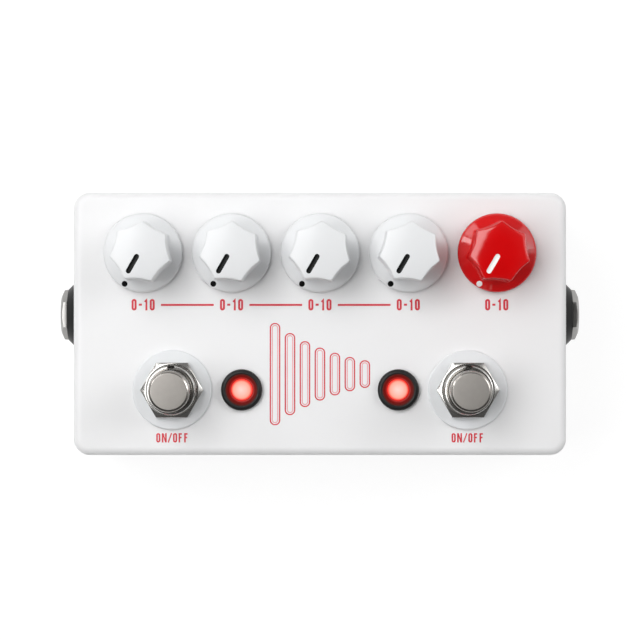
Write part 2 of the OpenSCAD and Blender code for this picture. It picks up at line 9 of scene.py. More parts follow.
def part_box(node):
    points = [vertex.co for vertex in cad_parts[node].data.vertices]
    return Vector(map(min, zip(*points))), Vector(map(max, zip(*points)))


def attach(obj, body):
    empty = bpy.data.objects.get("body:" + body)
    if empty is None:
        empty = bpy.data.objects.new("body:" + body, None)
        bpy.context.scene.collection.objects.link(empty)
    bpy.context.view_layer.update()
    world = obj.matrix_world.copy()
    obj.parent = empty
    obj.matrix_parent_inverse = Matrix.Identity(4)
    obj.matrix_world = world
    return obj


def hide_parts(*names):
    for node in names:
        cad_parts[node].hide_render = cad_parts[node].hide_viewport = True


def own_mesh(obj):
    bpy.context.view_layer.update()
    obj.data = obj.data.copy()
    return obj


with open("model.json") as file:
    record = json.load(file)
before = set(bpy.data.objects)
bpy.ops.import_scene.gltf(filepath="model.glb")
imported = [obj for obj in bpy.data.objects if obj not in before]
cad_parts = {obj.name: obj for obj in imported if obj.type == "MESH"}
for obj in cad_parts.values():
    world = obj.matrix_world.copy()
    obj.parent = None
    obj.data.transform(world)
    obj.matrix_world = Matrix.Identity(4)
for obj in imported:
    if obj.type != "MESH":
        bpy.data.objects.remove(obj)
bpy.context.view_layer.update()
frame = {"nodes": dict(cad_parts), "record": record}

# Sizes are in millimetres, as in the part's source, and meshes are in metres.
MM = 0.001

DIALS = ["time", "mix", "repeats", "tone", "boost"]
SIDES = ["left", "right"]

# Gaps between pieces that sit, slide or screw in each other
SEAT_GAP = 0.3
SLIDE_FIT = 0.08
THREAD_FIT = 0.05

# How far a cut goes into a wall and stands out of it, and the pitch of all threads
CUT_DEPTH = 4
CUT_OVER = 2
THREAD_PITCH = 0.75

# Case, base plate and feet
PANEL_T = 2.2
WALL_T = 2.2
PLATE_T = 2.2
CORNER_R = 4.0
EDGE_R = 2.0
POST_R = 3.6
POST_INSET = 5.2
POST_CLEAR = 1
SCREW_R = 1.75
SCREW_DEPTH = 11
SINK_R = 3.4
SINK_DEPTH = 1.5
LIP_T = 1.6
LIP_ROOT = 0.2
FOOT_R = 5.5

# Dials
POINTER_TURN = math.radians(240)
KNOB_R = 9.75
KNOB_LOW = 0.5
GRIP_R = 7.6
FLUTES = 7
FLUTE_R = 14.0
FLUTE_MID_R = 6.5
FLUTE_DRAFT = math.tan(math.radians(0.5))
FLUTE_EASE = 0.45
FLUTE_SEGMENTS = 20
DOME_R = 30.0
SKIRT_RIM_Z = 2.0
SKIRT_NECK_R = 6.0
SKIRT_NECK_Z = 4.0
SKIRT_RIM_EASE = 0.8
SKIRT_SLOPE = (SKIRT_NECK_Z - SKIRT_RIM_Z) / (KNOB_R - SKIRT_NECK_R)
NUT_ROOM_R = 6.07
NUT_ROOM_TOP = 2.7
BUSH_ROOM_R = 3.9
BUSH_ROOM_TOP = 3.3
SHAFT_HOLE_R = 3.2
SHAFT_HOLE_TOP = 12.7
SET_HOLE_R = 1.55
SET_HOLE_Z = 8.475
SET_HOLE_START = 2.67
SET_HOLE_END = 12
POT_BUSH_R = 3.5
GROOVE_DEPTH = 0.4
POINTER_R = 3.4
POINTER_LEN = 5.3
POINTER_W = 1.25
DOT_R = 8.85
DOT_D = 1.45

# Footswitches, with heights measured from the panel
BUSHING_R = 6.0
BUSHING_THREAD = 0.28
RIM_CROWN = 0.1
KEYWAY_W = 1.8
KEYWAY_DEPTH = 0.6
NOTCH_W = 1.6
FRAME_LOW = -PANEL_T - 3
FRAME_T = 1
SWITCH_W = 17.0
SWITCH_NUT_AF = 13.5
SWITCH_NUT_DROP = 0.5
BUTTON_R = 5.0
STEM_R = 2.4
FLANGE_R = BUSHING_R + 0.6
FLANGE_TOP = FRAME_LOW - 0.2
FLANGE_LOW = FLANGE_TOP - 1.2
CAP_FLAT_R = 4.4
CAP_RISE = 0.1
SPRING_WIRE_R = 0.4
SPRING_TURNS = 6

# Lamps, with heights measured from the panel
BEZEL_R = 5.1
BEZEL_BARREL_R = 4.3
BEZEL_LOW = -5
WELL_TOP_R = 3.95
WELL_LOW_R = 3.2
WELL_LOW = -1
LAMP_R = 2.5
LAMP_DROP = 0.2
LAMP_FLANGE_R = LAMP_R + 0.4
LAMP_FLANGE_LOW = -6

# Jacks and power socket
NOSE_R = 4.5
NOSE_THREAD = 0.25
PLUG_R = 3.25
JACK_W = 14.0
JACK_LEN = 20.0
JACK_WASHER_RIM = 0.8
JACK_NUT_AF = 11.0
JACK_NUT_DROP = 0.7
JACK_NUT_DRAFT = math.tan(math.radians(4.5))
CONTACT_SLOT_X = (5, 9)
CONTACT_SLOT_Y = PLUG_R + 1.7
CONTACT_SLOT_T = 0.8
CONTACT_SLOT_END = -WALL_T - 5
SOCKET_W = 12
SOCKET_R = 3.0
SOCKET_DEPTH = 9.5
SOCKET_NOSE_R = 5.2
SOCKET_FACE = -2.0
PIN_R = 1.0
PIN_LEN = 8.51
PIN_BASE_R = 2.7
PIN_BASE_T = 0.6

# Print on the panel
INK_LIFT = 0.004
INK_T = 0.03
DIAL_TEXT_Y = 4.75
DIAL_TEXT_H = 2.8
DIAL_LINE_Y = 4.7
DIAL_LINE_INSET = 4.4
DIAL_STROKE = 0.5
SWITCH_TEXT_Y = -28.15
SWITCH_TEXT_H = 2.3
SWITCH_STROKE = 0.38
BARS = 7
BAR_PITCH = 3.7
BAR_Y = -12.4
BAR_W = 2.3
BAR_H = 25.0
BAR_SHRINK = 0.8

# Camera, over the panel
CAMERA_LENS = 163.83
CAMERA_SENSOR = 36
CAMERA_X = 0.02
CAMERA_Y = 0.97
CAMERA_RISE = 720

# Room and floor: strengths of light, and where light changes along a direction's own Y or Z
ROOM_LIGHT = 0.29
OVERHEAD_LIGHT = 0.058
OVERHEAD_Z = (0.8, 0.96)
BEHIND_Y = (-0.4, 0.0)
BACKDROP_Z = (0.5, 0.3)
CARD_SHARE = 0.4
PAPER_PALE = 0.75
PAPER_SEEN = 0.22
PAPER_GLOW = 0.86


def centre_of(node):
    low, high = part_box(node)
    return (low + high) / 2


def above_panel(node):
    """The point of the panel's surface on a node's upright axis."""
    middle = centre_of(node)
    return Vector((middle.x, middle.y, PANEL_Z))


def rise_of(node):
    """Height of a node's top above the panel."""
    return (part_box(node)[1].z - PANEL_Z) / MM


def reach_of(node):
    """How far a node stands out of the right wall."""
    return (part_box(node)[1].x - CASE_HIGH.x) / MM


# Sizes and places that the frame gives
CASE_LOW, CASE_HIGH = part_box("enclosure")
CASE_W = (CASE_HIGH.x - CASE_LOW.x) / MM
CASE_D = (CASE_HIGH.y - CASE_LOW.y) / MM
CASE_LOW_Z = CASE_LOW.z / MM
PANEL_Z = CASE_HIGH.z
KNOB_TOP = rise_of("time_knob")
BUSHING_TOP = rise_of("left_switch_bushing")
BUTTON_TOP = rise_of("left_button")
BUTTON_LOW = (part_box("left_button")[0].z - PANEL_Z) / MM
SWITCH_WASHER_T = rise_of("switch_washers")
SWITCH_WASHER_R = (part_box("switch_washers")[1].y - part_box("switch_washers")[0].y) / 2 / MM
SWITCH_NUT_T = rise_of("switch_nuts") - SWITCH_WASHER_T
BEZEL_TOP = rise_of("left_lamp_bezel")
JACK_Y = centre_of("input_jack_body").y
JACK_Z = centre_of("input_jack_body").z
JACK_WASHER_T = reach_of("jack_washers")
JACK_WASHER_R = (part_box("jack_washers")[1].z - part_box("jack_washers")[0].z) / 2 / MM
JACK_NUT_T = reach_of("jack_nuts") - JACK_WASHER_T
NOSE_END = reach_of("input_jack_body")
SOCKET_Z = centre_of("power_socket_pin").z


# Node tools

def feed(tree, socket, value):
    """Links another node's output to a socket, or sets the socket to a plain value."""
    if isinstance(value, bpy.types.NodeSocket):
        tree.links.new(value, socket)
    else:
        socket.default_value = value


def new_node(tree, kind, **inputs):
    """A node with some inputs fed by name, where _ stands for a space."""
    node = tree.nodes.new(kind)
    for name, value in inputs.items():
        feed(tree, node.inputs[name.replace("_", " ")], value)
    return node


def combine(tree, kind, operation, *values):
    """The outputs of a maths node with its inputs fed in order."""
    node = tree.nodes.new(kind)
    node.operation = operation
    for socket, value in zip(node.inputs, values):
        feed(tree, socket, value)
    return node.outputs


def maths(tree, operation, first, second):
    return combine(tree, "ShaderNodeMath", operation, first, second)["Value"]


def map_range(tree, value, start, end=(0, 1)):
    """A value carried from one pair of limits to another, and held within them."""
    node = new_node(
        tree, "ShaderNodeMapRange", Value=value,
        From_Min=start[0], From_Max=start[1], To_Min=end[0], To_Max=end[1],
    )
    return node.outputs["Result"]


def mixed(tree, share, first, second, kind="FLOAT"):
    """The first value where the share is 0, and the second where it is 1."""
    node = tree.nodes.new("ShaderNodeMix")
    node.data_type = kind
    for name, value in (("Factor", share), ("A", first), ("B", second)):
        feed(tree, node.inputs[name], value)
    return node.outputs["Result"]


# Materials

NOISE_DETAIL = 3.0
NOISE_SPAN = (0.3, 0.7)


class Shader:
    """A node material built around one Principled shader."""

    def __init__(self, name, colour, roughness, metallic=0.0, **sockets):
        self.name = name
        self.colour = colour
        self.roughness = roughness
        self.material = bpy.data.materials.new(name)
        self.material.use_nodes = True
        self.tree = self.material.node_tree
        self.inputs = self.tree.nodes["Principled BSDF"].inputs
        self.feed("Base Color", (*colour, 1))
        self.feed("Roughness", roughness)
        self.feed("Metallic", metallic)
        for socket, value in sockets.items():
            self.feed(socket.replace("_", " "), value)

    def feed(self, socket, value):
        feed(self.tree, self.inputs[socket], value)
        return self

    def position(self):
        """The point on the piece, in its own frame."""
        return new_node(self.tree, "ShaderNodeTexCoord").outputs["Object"]

    def radius(self):
        """Distance from the piece's own upright axis, in metres."""
        flat = combine(self.tree, "ShaderNodeVectorMath", "MULTIPLY", self.position(), (1, 1, 0))
        return combine(self.tree, "ShaderNodeVectorMath", "LENGTH", flat["Vector"])["Value"]

    def noise(self, scale, stretch=(1, 1, 1)):
        mapping = new_node(self.tree, "ShaderNodeMapping", Vector=self.position(), Scale=stretch)
        spots = mapping.outputs["Vector"]
        texture = new_node(self.tree, "ShaderNodeTexNoise", Vector=spots, Scale=scale, Detail=NOISE_DETAIL)
        return texture.outputs["Fac"]

    def ramp(self, value, stops):
        """Colours at (position, colour) stops."""
        node = new_node(self.tree, "ShaderNodeValToRGB", Fac=value)
        elements = node.color_ramp.elements
        while len(elements) < len(stops):
            elements.new(0.5)
        for element, (position, colour) in zip(elements, stops):
            element.position = position
            element.color = (*colour, 1)
        return node.outputs["Color"]

    def mottle(self, scale, amount):
        """Slow colour variation, lighter and darker by the amount."""
        dark = [c * (1 - amount) for c in self.colour]
        light = [min(1, c * (1 + amount)) for c in self.colour]
        stops = list(zip(NOISE_SPAN, (dark, light)))
        return self.feed("Base Color", self.ramp(self.noise(scale), stops))

    def rub(self, scale, amount):
        """Roughness that changes over the surface, as handling leaves it."""
        limits = (max(0.02, self.roughness - amount), self.roughness + amount)
        return self.feed("Roughness", map_range(self.tree, self.noise(scale), NOISE_SPAN, limits))

    def bump(self, scale, strength, height, stretch=(1, 1, 1)):
        """Fine bumps, with their height in metres."""
        rough = self.noise(scale, stretch)
        node = new_node(self.tree, "ShaderNodeBump", Height=rough, Strength=strength, Distance=height)
        return self.feed("Normal", node.outputs["Normal"])


def cap_shader():
    """Satin metal with a polished bevel around its flat top."""
    shader = Shader("satin_nickel", (0.382, 0.361, 0.338), 0.52, 1.0).mottle(900, 0.02)
    edge = ((CAP_FLAT_R - 0.05) * MM, (CAP_FLAT_R + 0.05) * MM)
    shader.feed("Roughness", map_range(shader.tree, shader.radius(), edge, (shader.roughness, 0.2)))
    return shader.bump(4000, 0.04, 0.0001, (1, 6, 1))


def lamp_shader():
    """A lit lamp: pale in the middle, deep red at its rim."""
    shader = Shader("lamp_red", (0.6, 0.03, 0.02), 0.4, Emission_Strength=1.0, Specular_IOR_Level=0.2)
    spread = map_range(shader.tree, shader.radius(), (0, LAMP_R * MM))
    glow = shader.ramp(spread, [
        (0.0, (0.9, 0.67, 0.61)),
        (0.45, (0.9, 0.54, 0.46)),
        (0.8, (0.9, 0.42, 0.32)),
        (1.0, (0.75, 0.06, 0.04)),
    ])
    return shader.feed("Emission Color", glow).mottle(400, 0.1)


def bezel_painted_glow_shader():
    """Black plastic with the lamp's red light painted on the wall of its well, as a glow of its own."""
    black = (0.01, 0.01, 0.01)
    shader = Shader("bezel_painted_glow", black, 0.45, Emission_Strength=1.0, Specular_IOR_Level=0.35)
    spread = map_range(shader.tree, shader.radius(), (LAMP_R * MM, 1.6 * LAMP_R * MM))
    # Painted light: the lamp's red spill, bright next to the lamp and fading to nothing across the well.
    glow = shader.ramp(spread, [
        (0.0, (0.85, 0.02, 0.012)),
        (0.25, (0.4, 0.009, 0.006)),
        (0.5, (0.13, 0.003, 0.002)),
        (0.85, (0, 0, 0)),
    ])
    return shader.feed("Emission Color", glow).mottle(400, 0.15)


def plastic_shaders():
    return [
        Shader("case_paint", (0.87, 0.87, 0.875), 0.38)
        .mottle(35, 0.008).rub(120, 0.04).bump(1400, 0.05, 0.0002),
        Shader("knob_white", (0.81, 0.82, 0.83), 0.32).mottle(180, 0.01).bump(2500, 0.03, 0.0001),
        Shader("knob_red", (0.64, 0.001, 0.002), 0.1, Specular_IOR_Level=0.65)
        .mottle(180, 0.04).bump(2500, 0.03, 0.0001),
        Shader("black_plastic", (0.005, 0.005, 0.005), 0.4, Specular_IOR_Level=0.2)
        .mottle(400, 0.15).bump(2600, 0.06, 0.0001),
        Shader("foot_rubber", (0.03, 0.03, 0.03), 0.7).mottle(500, 0.15).bump(2200, 0.2, 0.0002),
        Shader("nylon", (0.79, 0.805, 0.82), 0.5).mottle(220, 0.015).bump(1600, 0.05, 0.0001),
        Shader("board_laminate", (0.02, 0.14, 0.05), 0.4).mottle(150, 0.15).bump(900, 0.1, 0.0001),
        Shader("switch_plastic", (0.03, 0.1, 0.38), 0.3).mottle(200, 0.06),
        Shader("capacitor_sleeve", (0.02, 0.03, 0.1), 0.25).mottle(300, 0.1),
    ]


def metal_shaders():
    return [
        Shader("nickel", (0.52, 0.51, 0.49), 0.2, 1.0)
        .mottle(300, 0.04).rub(500, 0.04).bump(1800, 0.015, 0.0001),
        Shader("dull_nickel", (0.33, 0.325, 0.316), 0.34, 1.0).mottle(300, 0.05).rub(500, 0.05),
        Shader("zinc_steel", (0.6, 0.6, 0.6), 0.3, 1.0).mottle(400, 0.06).rub(600, 0.08),
        Shader("pot_steel", (0.5, 0.5, 0.48), 0.45, 1.0).mottle(300, 0.07).rub(500, 0.1),
        Shader("shaft_metal", (0.6, 0.6, 0.6), 0.35, 1.0).mottle(500, 0.05),
        Shader("black_steel", (0.05, 0.05, 0.05), 0.4, 0.8).mottle(600, 0.15),
        Shader("contact_metal", (0.65, 0.5, 0.25), 0.3, 1.0).mottle(500, 0.06),
    ]


def ink_shaders():
    return [
        Shader("ink_red", (0.66, 0.03, 0.05), 0.45).mottle(500, 0.07),
        Shader("ink_pink", (0.82, 0.33, 0.35), 0.45).mottle(500, 0.05),
        Shader("ink_black", (0.002, 0.002, 0.002), 0.4, Specular_IOR_Level=0.2).mottle(800, 0.2),
        Shader("ink_white", (0.92, 0.92, 0.91), 0.45).mottle(800, 0.02),
    ]


def make_materials():
    special = [cap_shader(), lamp_shader(), bezel_painted_glow_shader()]
    shaders = plastic_shaders() + metal_shaders() + ink_shaders() + special
    return {shader.name: shader.material for shader in shaders}


MATERIALS = make_materials()


def paint_cad_nodes():
    for part in frame["record"]["subparts"]:
        mesh = frame["nodes"][part["node"]].data
        mesh.materials.clear()
        mesh.materials.append(MATERIALS[part["material_slot"]])


# Mesh tools

def bridge(bm, lower, upper):
    """Quads between two rings of vertices, or a fan where one ring is a single point."""
    count = max(len(lower), len(upper))
    for i in range(count):
        j = (i + 1) % count
        corners = [lower[k % len(lower)] for k in (i, j)] + [upper[k % len(upper)] for k in (j, i)]
        face = []
        for corner in corners:
            if corner not in face:
                face.append(corner)
        bm.faces.new(face)


def bridge_all(bm, rows):
    for lower, upper in zip(rows, rows[1:]):
        bridge(bm, lower, upper)


def close_ends(bm, rows):
    bm.faces.new(rows[0][::-1])
    bm.faces.new(rows[-1])


def eased(profile, steps=5):
    """A profile with its corners rounded: a point (r, z, ease) is rounded over that distance."""
    points = []
    for i, point in enumerate(profile):
        corner = Vector(point[:2])
        if len(point) < 3 or i in (0, len(profile) - 1):
            points.append(tuple(corner))
            continue
        before = Vector(profile[i - 1][:2]) - corner
        after = Vector(profile[i + 1][:2]) - corner
        reach = min(point[2], 0.48 * before.length, 0.48 * after.length)
        start = corner + before.normalized() * reach
        end = corner + after.normalized() * reach
        for k in range(steps + 1):
            t = k / steps
            points.append(tuple((1 - t) ** 2 * start + 2 * t * (1 - t) * corner + t * t * end))
    return points


def polar_vertex(bm, r, z, a):
    return bm.verts.new((r * MM * math.cos(a), r * MM * math.sin(a), z * MM))


def circle_row(bm, r, z, segments, start=0.0):
    """A ring of vertices, or one vertex where the radius is nothing."""
    if r < 1e-6:
        return [bm.verts.new((0, 0, z * MM))]
    return [polar_vertex(bm, r, z, 2 * math.pi * i / segments + start) for i in range(segments)]


def turned(profile, segments=96):
    """A solid turned about Z. A profile that doesn't start on the axis is closed into a ring."""
    bm = bmesh.new()
    rows = [circle_row(bm, r, z, segments) for r, z in profile]
    if profile[0][0] > 1e-6:
        rows.append(rows[0])
    bridge_all(bm, rows)
    return bm


def cylinder(r, low, high, segments=64):
    return turned([(0, low), (r, low), (r, high), (0, high)], segments)


def block(low, high):
    """A box between two corners, in millimetres."""
    bm = bmesh.new()
    bmesh.ops.create_cube(bm, size=1)
    size = [b - a for a, b in zip(low, high)]
    middle = [(a + b) / 2 * MM for a, b in zip(low, high)]
    bmesh.ops.scale(bm, vec=[s * MM for s in size], verts=bm.verts)
    bmesh.ops.translate(bm, vec=middle, verts=bm.verts)
    return bm


def placed(bm, matrix):
    bmesh.ops.transform(bm, matrix=matrix, verts=bm.verts)
    return bm


def joined(parts):
    """One bmesh from several."""
    whole = bmesh.new()
    for bm in parts:
        mesh = bpy.data.meshes.new("part")
        bm.to_mesh(mesh)
        bm.free()
        whole.from_mesh(mesh)
        bpy.data.meshes.remove(mesh)
    return whole


def object_from(name, bm):
    bmesh.ops.recalc_face_normals(bm, faces=bm.faces)
    mesh = bpy.data.meshes.new(name)
    bm.to_mesh(mesh)
    bm.free()
    obj = bpy.data.objects.new(name, mesh)
    bpy.context.scene.collection.objects.link(obj)
    return obj


def carved(bm, tool, operation="DIFFERENCE"):
    """The mesh with the tool cut away from it, or joined to it."""
    obj = object_from("carved", bm)
    cutter = object_from("cutter", tool)
    modifier = obj.modifiers.new("carve", "BOOLEAN")
    modifier.operation = operation
    modifier.solver = "EXACT"
    modifier.use_self = True
    modifier.object = cutter
    depsgraph = bpy.context.evaluated_depsgraph_get()
    mesh = bpy.data.meshes.new_from_object(obj.evaluated_get(depsgraph))
    result = bmesh.new()
    result.from_mesh(mesh)
    bpy.data.meshes.remove(mesh)
    for unused in (obj, cutter):
        bpy.data.meshes.remove(unused.data)
    return result


def piece(name, bm, body, slot, nodes=(), place=None, material=None, sharp=35):
    """A finished piece: shaded, placed, painted, riding on its body and standing for its CAD nodes."""
    bmesh.ops.remove_doubles(bm, verts=bm.verts, dist=1e-7)
    bmesh.ops.recalc_face_normals(bm, faces=bm.faces)
    for face in bm.faces:
        face.smooth = True
    for edge in bm.edges:
        edge.smooth = not edge.is_manifold or edge.calc_face_angle(0) < math.radians(sharp)
    obj = object_from(name, bm)
    obj.matrix_world = place or Matrix()
    obj.data.materials.append(MATERIALS[material or slot])
    normals = obj.modifiers.new("even_normals", "WEIGHTED_NORMAL")
    normals.keep_sharp = True
    bpy.context.view_layer.update()
    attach(obj, body)
    if nodes:
        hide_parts(*nodes)
    return obj


# Case

def rounded_outline(w, d, r, steps):
    """Points around a rectangle with rounded corners."""
    points = []
    for turn, sx, sy in ((0, 1, 1), (90, -1, 1), (180, -1, -1), (270, 1, -1)):
        for k in range(steps + 1):
            a = math.radians(turn + 90 * k / steps)
            points.append((sx * (w / 2 - r) + r * math.cos(a), sy * (d / 2 - r) + r * math.sin(a)))
    return points


def flat_row(bm, outline, z):
    return [bm.verts.new((x * MM, y * MM, z * MM)) for x, y in outline]


def rounded_slab(w, d, r, levels, steps=12):
    """A closed slab from (inset, z) levels, lowest first."""
    bm = bmesh.new()
    rows = []
    for inset, z in levels:
        outline = rounded_outline(w - 2 * inset, d - 2 * inset, r - inset, steps)
        rows.append(flat_row(bm, outline, z))
    bridge_all(bm, rows)
    close_ends(bm, rows)
    return bm


def lower_easing(ease, low):
    """(inset, z) levels of an eased lower edge."""
    return [(ease, low), (0.3 * ease, low + 0.3 * ease), (0, low + ease)]


def upper_rounding(radius, top, steps):
    """(inset, z) levels of a rounded upper edge."""
    turns = [math.pi / 2 * k / steps for k in range(steps + 1)]
    return [(radius * (1 - math.cos(a)), top - radius + radius * math.sin(a)) for a in turns]


def post_places():
    x = CASE_W / 2 - POST_INSET
    y = CASE_D / 2 - POST_INSET
    return [Matrix.Translation((sx * x * MM, sy * y * MM, 0)) for sx in (-1, 1) for sy in (-1, 1)]


def along_x(side, x, y, z):
    """Turns a part built along Z so that its Z points out of a side wall."""
    return Matrix.Translation((x, y, z)) @ Matrix.Rotation(side * math.pi / 2, 4, "Y")


def along_y(x, y, z):
    """Turns a part built along Z so that its Z points out of the rear wall."""
    return Matrix.Translation((x, y, z)) @ Matrix.Rotation(-math.pi / 2, 4, "X")


def wall_hole(r, place):
    """A cut for a hole that a part of radius r sits in with its gap."""
    return placed(cylinder(r + SEAT_GAP, -CUT_DEPTH, CUT_OVER), place)


def case_holes():
    holes = [
        placed(cylinder(SCREW_R + THREAD_FIT, CASE_LOW_Z - 1, CASE_LOW_Z + SCREW_DEPTH), place)
        for place in post_places()
    ]
    for name in DIALS:
        holes.append(wall_hole(POT_BUSH_R, Matrix.Translation(above_panel(name + "_knob"))))
    for side in SIDES:
        holes.append(wall_hole(BUSHING_R, Matrix.Translation(above_panel(side + "_button"))))
        holes.append(wall_hole(BEZEL_BARREL_R, Matrix.Translation(above_panel(side + "_lamp"))))
    for side in (-1, 1):
        holes.append(wall_hole(NOSE_R, along_x(side, side * CASE_HIGH.x, JACK_Y, JACK_Z)))
    holes.append(wall_hole(SOCKET_NOSE_R, along_y(0, CASE_HIGH.y, SOCKET_Z)))
    return holes


def build_enclosure():
    top = PANEL_Z / MM
    low = CASE_LOW_Z
    ceiling = top - PANEL_T
    levels = lower_easing(0.3, low) + upper_rounding(EDGE_R, top, 10)
    shell = rounded_slab(CASE_W, CASE_D, CORNER_R, levels)
    inside_w = CASE_W - 2 * WALL_T
    inside_d = CASE_D - 2 * WALL_T
    cavity = rounded_slab(inside_w, inside_d, CORNER_R - WALL_T, [(0, low - 1), (0, ceiling)])
    shell = carved(shell, cavity)
    posts = [placed(cylinder(POST_R, low, ceiling + 0.5), place) for place in post_places()]
    shell = carved(shell, joined(posts), "UNION")
    shell = carved(shell, joined(case_holes()))
    piece("case_shell", shell, "chassis", "case_paint", ["enclosure"], sharp=30)


def plate_lip(low, high):
    """Bars along the four sides of the plate that fit inside the walls, clear of the posts."""
    lip_x = CASE_W / 2 - WALL_T - SEAT_GAP
    lip_y = CASE_D / 2 - WALL_T - SEAT_GAP
    reach_x = CASE_W / 2 - POST_INSET - POST_R - POST_CLEAR
    reach_y = CASE_D / 2 - POST_INSET - POST_R - POST_CLEAR
    bars = []
    for side in (-1, 1):
        y = sorted((side * lip_y, side * (lip_y - LIP_T)))
        bars.append(block((-reach_x, y[0], low), (reach_x, y[1], high)))
        x = sorted((side * lip_x, side * (lip_x - LIP_T)))
        bars.append(block((x[0], -reach_y, low), (x[1], reach_y, high)))
    return bars


def build_base_plate():
    low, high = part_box("base_plate")
    under = low.z / MM
    top = under + PLATE_T
    upper_edge = [(0, top - 0.25), (0.1, top - 0.07), (0.25, top)]
    plate = rounded_slab(CASE_W, CASE_D, CORNER_R, lower_easing(0.5, under) + upper_edge)
    plate = carved(plate, joined(plate_lip(top - LIP_ROOT, high.z / MM)), "UNION")
    hole_r = SCREW_R + SEAT_GAP
    sink = [
        (0, under - 0.5), (SINK_R + 0.5, under - 0.5), (SINK_R, under),
        (hole_r, under + SINK_DEPTH), (hole_r, top + 1), (0, top + 1),
    ]
    sinks = [placed(turned(sink, 48), place) for place in post_places()]
    plate = carved(plate, joined(sinks))
    piece("base_cover", plate, "chassis", "case_paint", ["base_plate"], sharp=30)


def build_feet():
    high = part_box("rubber_feet")[1]
    top = high.z / MM
    profile = eased([(0, 0), (FOOT_R - 0.2, 0, 0.7), (FOOT_R, 1.2, 0.8), (FOOT_R, top), (0, top)])
    x = high.x - FOOT_R * MM
    y = high.y - FOOT_R * MM
    feet = []
    for sx in (-1, 1):
        for sy in (-1, 1):
            feet.append(placed(turned(profile, 64), Matrix.Translation((sx * x, sy * y, 0))))
    piece("feet", joined(feet), "chassis", "foot_rubber", ["rubber_feet"])


# Dials

def smooth_min(a, b, width):
    h = max(width - abs(a - b), 0) / width
    return min(a, b) - h * h * width / 4


def grip_radius(turn, z):
    """Radius of the fluted grip at a turn from the pointer and a height above the panel."""
    step = 2 * math.pi / FLUTES
    phi = turn % step - step / 2
    draft = FLUTE_DRAFT * (KNOB_TOP - z)
    reach = FLUTE_MID_R + draft + FLUTE_R
    flute = reach * math.cos(phi) - math.sqrt(FLUTE_R ** 2 - (reach * math.sin(phi)) ** 2)
    return smooth_min(flute, GRIP_R + draft, FLUTE_EASE)


def skirt_z(r):
    return SKIRT_RIM_Z + (KNOB_R - r) * SKIRT_SLOPE


def skirt_top(r):
    """Height of the skirt with its rounded rim."""
    reach = SKIRT_RIM_EASE * math.cos(math.atan(SKIRT_SLOPE))
    share = max(0, 1 - math.sqrt(max(0, KNOB_R - r) / reach))
    return skirt_z(r) - SKIRT_RIM_EASE * share ** 2


def dome_z(r):
    return KNOB_TOP - DOME_R + math.sqrt(DOME_R ** 2 - r * r)


def grip_meets(surface, turn, z):
    """Where the grip's side meets a surface of the knob, found in a few rounds from a first height."""
    for _ in range(6):
        r = grip_radius(turn, z)
        z = surface(r)
    return r, z


def knob_profile(turn):
    """Points (r, z) from the nut's room around the skirt and up the grip to near the top's middle."""
    foot_r, foot_z = grip_meets(skirt_z, turn, SKIRT_NECK_Z)
    rim_r, rim_z = grip_meets(dome_z, turn, KNOB_TOP)
    points = [
        (NUT_ROOM_R, NUT_ROOM_TOP), (NUT_ROOM_R, KNOB_LOW),
        (KNOB_R - 0.25, KNOB_LOW, 0.15), (KNOB_R, KNOB_LOW + 0.25, 0.15),
        (KNOB_R, SKIRT_RIM_Z, SKIRT_RIM_EASE), (foot_r, foot_z, 0.5),
    ]
    for k in range(1, 6):
        z = foot_z + (rim_z - foot_z) * k / 6
        points.append((grip_radius(turn, z), z))
    points.append((rim_r, rim_z, 0.4))
    for share in (0.85, 0.7, 0.55, 0.4, 0.25, 0.12):
        points.append((rim_r * share, dome_z(rim_r * share)))
    return eased(points, 4)


def knob_mesh():
    """A closed knob with its room for the nut and its hole for the shaft."""
    segments = FLUTES * FLUTE_SEGMENTS
    bm = bmesh.new()
    columns = []
    for i in range(segments):
        turn = 2 * math.pi * i / segments
        columns.append([polar_vertex(bm, r, z, turn + POINTER_TURN) for r, z in knob_profile(turn)])
    rows = list(zip(*columns))
    bridge_all(bm, rows)
    bridge(bm, rows[-1], circle_row(bm, 0, KNOB_TOP, 1))
    bore = [
        (BUSH_ROOM_R, NUT_ROOM_TOP), (BUSH_ROOM_R, BUSH_ROOM_TOP), (SHAFT_HOLE_R, BUSH_ROOM_TOP),
        (SHAFT_HOLE_R, SHAFT_HOLE_TOP), (0, SHAFT_HOLE_TOP),
    ]
    bridge_all(bm, [rows[0]] + [circle_row(bm, r, z, segments, POINTER_TURN) for r, z in bore])
    return bm


def slot_rows(length, width, steps=18):
    """(x, half width) stations along a long hole with round ends."""
    half = length / 2
    end = width / 2
    stations = []
    for k in range(steps + 1):
        x = -half * math.cos(math.pi * k / steps)
        over = max(0, abs(x) - (half - end))
        stations.append((x, math.sqrt(max(0, end * end - over * over))))
    return stations


def mark_solid(middle_r, length, width, surface, low_drop, edge_drop, middle_drop):
    """A round-ended solid along the pointer's direction, with its depths under a surface of the knob."""
    least_half = 0.02
    across = [-1, -0.75, -0.4, 0, 0.4, 0.75, 1]
    lower = [(share, low_drop) for share in across]
    upper = [(share, middle_drop + (edge_drop - middle_drop) * share ** 4) for share in reversed(across)]
    bm = bmesh.new()
    columns = []
    for x, half in slot_rows(length, width):
        px = middle_r + x
        column = []
        for share, drop in lower + upper:
            py = max(half, least_half) * share
            z = surface(math.hypot(px, py)) - drop
            column.append(bm.verts.new((px * MM, py * MM, z * MM)))
        columns.append(column)
    bridge_all(bm, columns)
    bm.faces.new(columns[0])
    bm.faces.new(columns[-1][::-1])
    return placed(bm, Matrix.Rotation(POINTER_TURN, 4, "Z"))


def pointer_solid(shrink, *drops):
    return mark_solid(POINTER_R, POINTER_LEN - 2 * shrink, POINTER_W - 2 * shrink, dome_z, *drops)


def dot_solid(shrink, *drops):
    return mark_solid(DOT_R, DOT_D - 2 * shrink, DOT_D - 2 * shrink, skirt_top, *drops)


